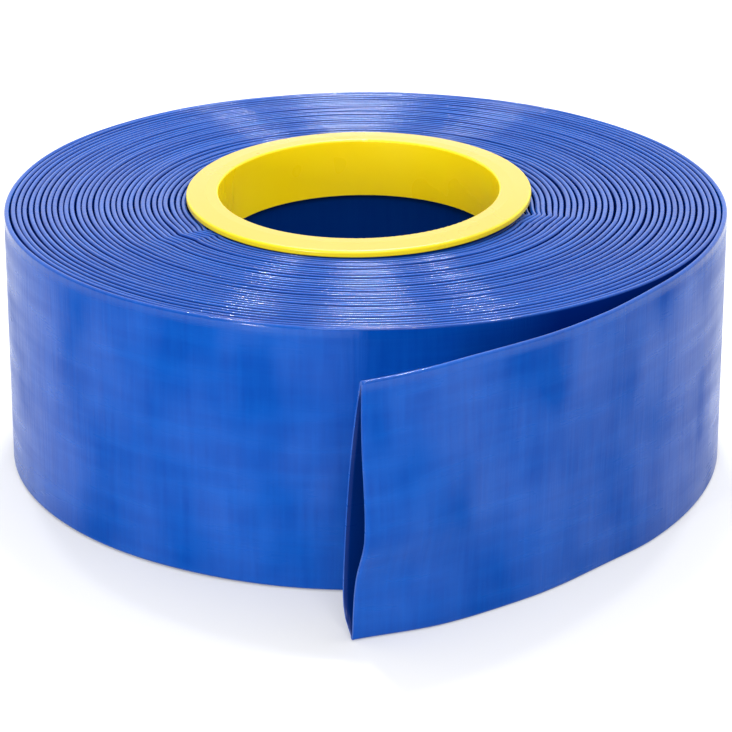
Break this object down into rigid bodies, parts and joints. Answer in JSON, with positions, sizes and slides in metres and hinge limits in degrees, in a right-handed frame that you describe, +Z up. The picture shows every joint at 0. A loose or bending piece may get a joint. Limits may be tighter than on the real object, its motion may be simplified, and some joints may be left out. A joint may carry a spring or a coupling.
{
  "type": "rolled fire hose",
  "caption": "Flat spiral roll of blue lay-flat hose lying on its side, with a yellow flanged ring in the top of its core hole and a loose free end.",
  "frame": {"origin": "on the roll's axis, at the level of the lower folds that the roll stands on", "axes": "+Z up along the roll's axis; the hose's free end stands off at the -Y side and its mouth points towards -X and -Y"},
  "size_m": [0.3344, 0.3921, 0.13],
  "materials": {
    "hose_cover": "satin gloss, faint cross weave",
    "hose_yarn": "woven polyester yarn",
    "hose_lining": "smooth satin",
    "core_ring": "smooth moulded satin"
  },
  "bodies": {
    "roll": {"wound_hose_cover": "hose_cover", "wound_hose_reinforcement": "hose_yarn", "wound_hose_lining": "hose_lining"},
    "free_end": {"free_end_cover": "hose_cover", "free_end_reinforcement": "hose_yarn", "free_end_lining": "hose_lining"},
    "core_ring": {"core_ring": "core_ring"}
  },
  "joints": [
    {"name": "free_end_swing", "type": "hinge", "parent": "roll", "child": "free_end", "pos_m": [0.11477, -0.13255, 0.061], "axis": [0, 0, 1], "range_deg": [-15, 75], "stiffness_Nm_per_rad": 0.05},
    {"name": "core_ring_lift", "type": "slide", "parent": "roll", "child": "core_ring", "axis": [0, 0, 1], "range_m": [0, 0.06]}
  ]
}
